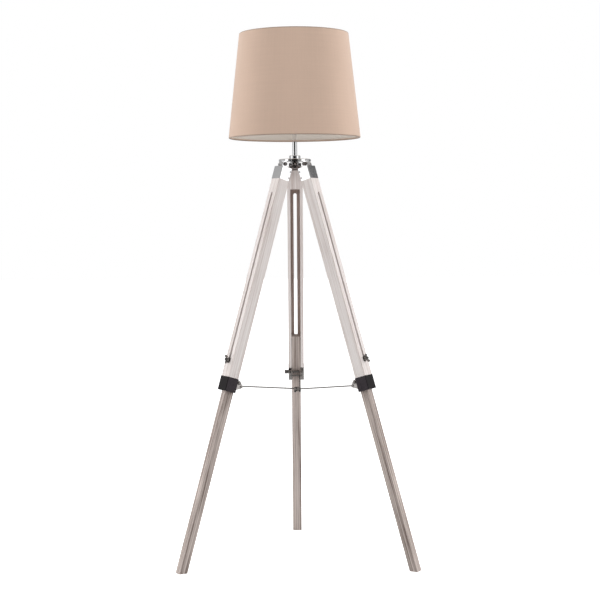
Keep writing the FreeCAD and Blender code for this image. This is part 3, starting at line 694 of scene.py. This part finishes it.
def make_washed_grain():
    """Growth rings cut along the stick, fibres and pores, half filled with white wash, with painted
    shade inside the channel.
    """
    made, given, result = node_group(
        "washed_grain",
        [("Vector", "Vector", None), ("Wash", "Color", (0.8, 0.76, 0.74, 1)),
         ("Line", "Color", (0.5, 0.42, 0.38, 1)), ("Contrast", "Float", 0.5),
         ("Half Depth", "Float", 0.015), ("Half Width", "Float", 0.02),
         ("Channel Half Width", "Float", 0.0)],
        [("Colour", "Color"), ("Roughness", "Float"), ("Height", "Float")])
    place = given.outputs["Vector"]
    split = node(made, "SeparateXYZ", {"Vector": place})
    from_middle_out = math_node(made, "ABSOLUTE", split.outputs["X"])
    from_middle_aside = math_node(made, "ABSOLUTE", split.outputs["Y"])

    drift = stretched_noise(made, place, RING_DRIFT, 2.0)
    pith_x = math_node(made, "ADD", split.outputs["X"], PITH_OUT)
    pith_y = math_node(made, "ADD", split.outputs["Y"], PITH_ASIDE)
    squares = math_node(made, "ADD", math_node(made, "MULTIPLY", pith_x, pith_x),
                        math_node(made, "MULTIPLY", pith_y, pith_y))
    ring = math_node(made, "MULTIPLY_ADD", drift, RING_WANDER, math_node(made, "SQRT", squares))
    rings = math_node(made, "FRACT", math_node(made, "MULTIPLY", ring, RINGS_PER_METRE))
    late_wood = math_node(made, "POWER", rings, 3.0)
    fibre = stretched_noise(made, place, FIBRES, 5.0, 0.65)
    fibres = ramp(made, fibre, 0.38, 0.68)
    streaks = ramp(made, stretched_noise(made, place, STREAKS, 3.0), 0.42, 0.62)
    pore_place = node(made, "Mapping", {"Vector": place, "Scale": PORES})
    pore = node(made, "TexVoronoi", {"Vector": pore_place.outputs["Vector"], "Scale": 1.0})
    pores = ramp(made, pore.outputs["Distance"], 0.12, 0.3, 1.0, 0.0)
    lines = math_node(made, "ADD", math_node(made, "MULTIPLY", fibres, FIBRE_SHARE),
                      math_node(made, "MULTIPLY", streaks, STREAK_SHARE))
    marks = math_node(made, "ADD", math_node(made, "MULTIPLY", late_wood, RING_SHARE), lines)
    marks = math_node(made, "MULTIPLY_ADD", pores, PORE_SHARE, marks)

    rubbed = ramp(made, stretched_noise(made, place, RUBBED_PATCHES, 2.0), 0.36, 0.64, 0.62, 1.45)
    shown = math_node(made, "MULTIPLY", math_node(made, "MULTIPLY", marks, rubbed),
                      given.outputs["Contrast"])
    grain = node(made, "Mix", {"Factor": shown, "A": given.outputs["Wash"],
                               "B": given.outputs["Line"]}, data_type="RGBA", clamp_factor=True)

    near_side = math_node(made, "DIVIDE", from_middle_aside, given.outputs["Half Width"])
    near_face = math_node(made, "DIVIDE", from_middle_out, given.outputs["Half Depth"])
    corner = math_node(made, "MINIMUM", near_side, near_face)
    ragged = math_node(made, "MULTIPLY_ADD", fibre, 0.09, corner)
    rub = ramp(made, ragged, 0.95, 1.04, 0.0, CORNER_RUB)
    worn = node(made, "Mix", {"Factor": rub, "A": grain.outputs["Result"],
                              "B": given.outputs["Line"]}, data_type="RGBA")

    # Painted shade: the wood inside the channel is darkened, where the channel's walls shade it.
    inside = math_node(made, "LESS_THAN", from_middle_aside, given.outputs["Channel Half Width"])
    for side, limit in (("GREATER_THAN", -CHANNEL_MOUTH), ("LESS_THAN", CHANNEL_FLOOR)):
        inside = math_node(made, "MULTIPLY", inside,
                           math_node(made, side, split.outputs["X"], limit))
    channel_shade = node(made, "VectorMath", {0: worn.outputs["Result"], 1: CHANNEL_SHADE_TONE}, operation="MULTIPLY")
    shaded = node(made, "Mix", {"Factor": inside, "A": worn.outputs["Result"],
                                "B": channel_shade.outputs["Vector"]}, data_type="RGBA")
    made.links.new(shaded.outputs["Result"], result.inputs["Colour"])
    made.links.new(math_node(made, "MULTIPLY_ADD", marks, 0.16, 0.46), result.inputs["Roughness"])
    made.links.new(math_node(made, "SUBTRACT", 1.0, marks), result.inputs["Height"])
    return made


washed_grain = make_washed_grain()


def leg_frame(number):
    """The leg's own axes, from its slide and its hinge: out from the lamp, along the pin, up."""
    along = Vector(joints[f"lower_leg_{number}_slide"]["axis"]).normalized()
    pin = Vector(joints[f"leg_{number}_fold"]["axis"]).normalized()
    out = pin.cross(along)
    hinge = Vector(joints[f"leg_{number}_fold"]["pos_m"])
    return Matrix(((out.x, pin.x, along.x, hinge.x), (out.y, pin.y, along.y, hinge.y),
                   (out.z, pin.z, along.z, hinge.z), (0, 0, 0, 1)))


def wood_finish(name, number, wash, line, contrast, middle, half_depth, half_width, channel=0.0):
    """Whitewashed wood whose grain runs along one leg."""
    finish, tree, shader = new_material(name, Specular_IOR_Level=0.35)
    inverse = leg_frame(number).inverted()
    place = node(tree, "Mapping", {
        "Vector": node(tree, "TexCoord").outputs["Object"],
        "Rotation": inverse.to_euler("XYZ"), "Location": inverse.translation - Vector((middle, 0, 0))})
    grain = placed_group(tree, washed_grain, {
        "Vector": place.outputs["Vector"], "Wash": (*wash, 1), "Line": (*line, 1),
        "Contrast": contrast, "Half Depth": half_depth, "Half Width": half_width,
        "Channel Half Width": channel})
    feed(tree, shader, Base_Color=grain.outputs["Colour"], Roughness=grain.outputs["Roughness"],
         Normal=relief(tree, grain.outputs["Height"], strength=0.35, depth=0.2 * MM))
    return finish


for number in (1, 2, 3):
    upper_wood = wood_finish(
        f"washed_wood_upper_{number}", number, wash=(0.84, 0.795, 0.78), line=(0.42, 0.32, 0.28),
        contrast=0.50, middle=-PIN_SET_OUT, half_depth=UPPER_DEPTH / 2,
        half_width=UPPER_WIDTH / 2, channel=CHANNEL_HALF_WIDTH)
    lower_wood = wood_finish(
        f"washed_wood_lower_{number}", number, wash=(0.66, 0.575, 0.535), line=(0.13, 0.09, 0.075),
        contrast=1.0, middle=-PIN_SET_OUT - LOWER_SET_IN, half_depth=LOWER_DEPTH / 2,
        half_width=LOWER_WIDTH / 2)
    for part, finish in (("upper", upper_wood), ("lower", lower_wood)):
        stick = merged_copy(f"{part}_leg_{number}", f"{part}_stick_{number}", finish)
        ease_edges(stick, 0.9 * MM, 15.0 * MM)
        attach(stick, f"{part}_leg_{number}")
        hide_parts(f"{part}_leg_{number}")


# ------------------------------------------------------------------ clamp sleeves
# A folded steel sleeve, plated dark and polished, wraps the foot of each upper leg. Zinc-plated
# lugs welded along its open edges take the clamp bolt and the pin of a spreader rod.
LIP_PLANE = 15.3 * MM
SLEEVE_BEND = 1.2 * MM
LUG_BEND = 0.4 * MM
smoked_chrome = metal_finish("smoked_chrome", colour=(0.030, 0.026, 0.029), mark_size=70.0,
                             clean=0.10, marked=0.22, scratch=0.15)
pale_zinc = metal_finish("pale_zinc_plate", colour=(0.36, 0.34, 0.33), mark_size=120.0,
                         clean=0.18, marked=0.34, scratch=0.5)
for number in (1, 2, 3):
    leg = leg_frame(number)
    lip_place = leg @ Vector((-PIN_SET_OUT - LIP_PLANE, 0, 0))
    for title, finish, slot, side, bend in (
            ("sleeve", smoked_chrome, "black_chrome", 1, SLEEVE_BEND),
            ("sleeve_lugs", pale_zinc, "zinc_steel", -1, LUG_BEND)):
        folded = merged_copy(f"clamp_sleeve_{number}", f"{title}_{number}", finish)
        pick(folded, "vertices", lambda vertex: True)
        bpy.ops.mesh.bisect(plane_co=lip_place, plane_no=side * leg.col[0].xyz, use_fill=True,
                            clear_inner=True)
        bpy.ops.object.mode_set(mode="OBJECT")
        ease_edges(folded, bend, 2.5 * MM)
        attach(folded, f"upper_leg_{number}")
        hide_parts(f"clamp_sleeve_{number}")
    paint_node(zinc, f"rod_pin_{number}", f"slot_washer_{number}")


# ------------------------------------------------------------------ bolts
# A threaded bolt clamps the lugs of each sleeve, and one through each slot fixes the lower leg.
# Their ends show thread beyond the nuts. A wooden plug hides the sunk head of each slot bolt.
PLUG_DEPTH = 1.2 * MM
RIDGE_PITCH = 0.9 * MM
THREAD_DEPTH = 0.84


def threaded_bolt(title, head, head_height, shank, length, threaded):
    """A round-headed bolt standing on its head, its upper end cut with a thread."""
    bpy.ops.object.select_all(action="DESELECT")
    bpy.ops.mesh.primitive_cylinder_add(vertices=40, radius=head, depth=head_height,
                                        location=(0, 0, head_height / 2))
    bolt = new_piece(title, zinc)
    pick(bolt, "edges", lambda edge: all(bolt.data.vertices[end].co.z < 0.1 * MM
                                         for end in edge.vertices))
    bpy.ops.mesh.bevel(offset=0.3 * head_height, segments=3, affect="EDGES")
    bpy.ops.object.mode_set(mode="OBJECT")
    pick(bolt, "polygons", lambda face: face.normal.z > 0.9)
    bpy.ops.mesh.inset(thickness=head - shank)
    rise = length - head_height - threaded
    bpy.ops.mesh.extrude_region_move(TRANSFORM_OT_translate={"value": (0, 0, rise)})
    for step in range(2 * round(threaded / RIDGE_PITCH)):
        bpy.ops.mesh.extrude_region_move(TRANSFORM_OT_translate={"value": (0, 0, RIDGE_PITCH / 2)})
        share = THREAD_DEPTH if step % 2 == 0 else 1 / THREAD_DEPTH
        bpy.ops.transform.resize(value=(share, share, 1), center_override=(0, 0, 0))
    bpy.ops.object.mode_set(mode="OBJECT")
    smooth(bolt, 30)
    return bolt


def placed_copy(piece, title, place):
    """A copy with its own mesh, set in the frame by a matrix."""
    made = bpy.data.objects.new(title, piece.data.copy())
    made.data.name = title
    made.data.transform(place)
    scene.collection.objects.link(made)
    return made


def along_bolt(kind, number):
    """Where a bolt starts, its direction and its length, from the joint of the nut on it."""
    joint = joints[f"{kind}_nut_{number}_turn"]
    axis = Vector(joint["axis"]).normalized()
    pivot = Vector(joint["pos_m"])
    corners = [vertex.co for vertex in nodes[f"{kind}_bolt_{number}"].data.vertices]
    reach = [(corner - pivot).dot(axis) for corner in corners]
    nut = nodes[f"{kind}_wing_nut_{number}"].data.vertices
    nut_reach = sum((vertex.co - pivot).dot(axis) for vertex in nut) / len(nut)
    bolt_middle = (min(reach) + max(reach)) / 2
    outward = axis if nut_reach > bolt_middle else -axis
    low = min((corner - pivot).dot(outward) for corner in corners)
    high = max((corner - pivot).dot(outward) for corner in corners)
    return pivot + low * outward, outward, high - low


# Each bolt: radius and height of its head, radius of its shank, its threaded length, and how far
# its head is sunk. Then the leg it rides on.
BOLTS = {"slot": (7.0 * MM, 3.0 * MM, 3.0 * MM, 12.6 * MM, PLUG_DEPTH, "lower"),
         "clamp": (4.5 * MM, 4.0 * MM, 2.5 * MM, 14.4 * MM, 0.0, "upper")}
for kind, (head, head_height, shank, threaded, sunk, part) in BOLTS.items():
    length = along_bolt(kind, 1)[2] - sunk
    pattern = threaded_bolt(f"{kind}_bolt_pattern", head, head_height - sunk, shank, length, threaded)
    for number in (1, 2, 3):
        foot, outward = along_bolt(kind, number)[:2]
        turn = outward.to_track_quat("Z", "Y").to_matrix().to_4x4()
        bolt = placed_copy(pattern, f"threaded_{kind}_bolt_{number}",
                           Matrix.Translation(foot + sunk * outward) @ turn)
        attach(bolt, f"{part}_leg_{number}")
        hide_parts(f"{kind}_bolt_{number}")
        if sunk:
            bpy.ops.object.select_all(action="DESELECT")
            bpy.ops.mesh.primitive_cylinder_add(vertices=40, radius=head, depth=sunk)
            plug = new_piece(f"slot_bolt_plug_{number}",
                             bpy.data.materials[f"washed_wood_lower_{number}"])
            plug.data.transform(Matrix.Translation(foot + sunk / 2 * outward) @ turn)
            ease_edges(plug, 0.2 * MM, 0.5 * MM)
            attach(plug, f"lower_leg_{number}")
    bpy.data.objects.remove(pattern)


# ------------------------------------------------------------------ wing nuts
# Zinc-plated pressed steel nuts with two rounded ears, turned by hand on the bolts. One closes
# each sleeve, and one fixes each lower leg through the slot of the upper one.
EAR_RADIUS = 0.145
EAR_THICKNESS = 0.42
WEB_MIDDLE = 0.62
WEB_REACH = 0.76
WEB_RISE = 0.14


def wing_nut(title, bore, hub, height, span, ear_top, neck):
    """A wing nut standing on its neck, its ears along X, their sizes as shares of the nut's."""
    bpy.ops.object.select_all(action="DESELECT")
    bpy.ops.mesh.primitive_cylinder_add(vertices=48, radius=hub, depth=height,
                                        location=(0, 0, neck + height / 2))
    nut = new_piece(title, zinc)
    pick(nut, "vertices", lambda vertex: vertex.co.z > neck + height / 2)
    bpy.ops.transform.resize(value=(0.8, 0.8, 1), center_override=(0, 0, neck + height))
    bpy.ops.object.mode_set(mode="OBJECT")
    if neck:
        pick(nut, "polygons", lambda face: face.normal.z < -0.9)
        bpy.ops.mesh.inset(thickness=0.2 * hub)
        bpy.ops.mesh.extrude_region_move(TRANSFORM_OT_translate={"value": (0, 0, -neck)})
        bpy.ops.object.mode_set(mode="OBJECT")
    ear = EAR_RADIUS * span
    for side in (1, -1):
        ear_x = side * (span / 2 - ear - 0.2 * MM)
        ear_z = neck + ear_top - ear
        bpy.ops.object.select_all(action="DESELECT")
        bpy.ops.mesh.primitive_cylinder_add(vertices=32, radius=ear, depth=EAR_THICKNESS * hub,
                                            location=(ear_x, 0, ear_z),
                                            rotation=(math.radians(90), 0, 0))
        disc = new_piece("ear", zinc)
        bpy.ops.object.select_all(action="DESELECT")
        bpy.ops.mesh.primitive_cube_add(
            size=1.0, location=(ear_x * WEB_MIDDLE, 0, neck + 0.42 * ear_top),
            scale=(abs(ear_x) * WEB_REACH, EAR_THICKNESS * hub * 0.98, 0.46 * ear_top))
        web = new_piece("web", zinc)
        pick(web, "vertices", lambda vertex: abs(vertex.co.x) > abs(ear_x) * WEB_MIDDLE)
        bpy.ops.transform.translate(value=(0, 0, WEB_RISE * ear_top))
        bpy.ops.object.mode_set(mode="OBJECT")
        for part in (web, disc):
            apply_modifier(nut, "BOOLEAN", object=part, operation="UNION", solver="EXACT")
            bpy.data.objects.remove(part)
    bpy.ops.object.select_all(action="DESELECT")
    bpy.ops.mesh.primitive_cylinder_add(vertices=32, radius=bore, depth=4 * height,
                                        location=(0, 0, height))
    drill = new_piece("drill", zinc)
    apply_modifier(nut, "BOOLEAN", object=drill, operation="DIFFERENCE", solver="EXACT")
    bpy.data.objects.remove(drill)
    apply_modifier(nut, "BEVEL", width=0.35 * MM, segments=2, limit_method="ANGLE",
                   angle_limit=math.radians(50))
    smooth(nut, 40)
    return nut


# Each nut's radii, heights and span; how far out on its bolt it stands; its ears' turn in degrees.
NUTS = {
    "slot": (dict(bore=3.05 * MM, hub=5.5 * MM, height=8.0 * MM, span=25.0 * MM,
                  ear_top=11.0 * MM, neck=0.0), 2.1 * MM, 25.0),
    "clamp": (dict(bore=2.55 * MM, hub=5.5 * MM, height=9.5 * MM, span=24.0 * MM,
                   ear_top=10.5 * MM, neck=7.65 * MM), 14.95 * MM, 90.0)}
for kind, (sizes, stand_off, turn) in NUTS.items():
    pattern = wing_nut(f"{kind}_nut_pattern", **sizes)
    for number in (1, 2, 3):
        outward = along_bolt(kind, number)[1]
        along = leg_frame(number).col[2].xyz
        ears = Matrix.Rotation(math.radians(turn), 3, outward) @ along
        across = outward.cross(ears)
        pivot = Vector(joints[f"{kind}_nut_{number}_turn"]["pos_m"])
        basis = Matrix((ears, across, outward)).transposed().to_4x4()
        nut = placed_copy(pattern, f"pressed_{kind}_wing_nut_{number}",
                          Matrix.Translation(pivot + outward * stand_off) @ basis)
        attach(nut, f"{kind}_nut_{number}")
        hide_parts(f"{kind}_wing_nut_{number}")
    bpy.data.objects.remove(pattern)


# ------------------------------------------------------------------ spreader
# Three zinc-plated rods with flattened eyes run from the sleeves' pins to a small turned boss,
# which slides down the lamp's middle as the legs close. Black caps finish their inner ends.
black_nylon = moulded_finish("black_nylon", colour=(0.02, 0.02, 0.022), peel=1400.0, low=0.35,
                             high=0.55)
paint_node(smoky_nickel, "spreader_hub")
for number in (1, 2, 3):
    paint_node(zinc, f"spreader_rod_{number}")
    paint_node(black_nylon, f"rod_cap_{number}")
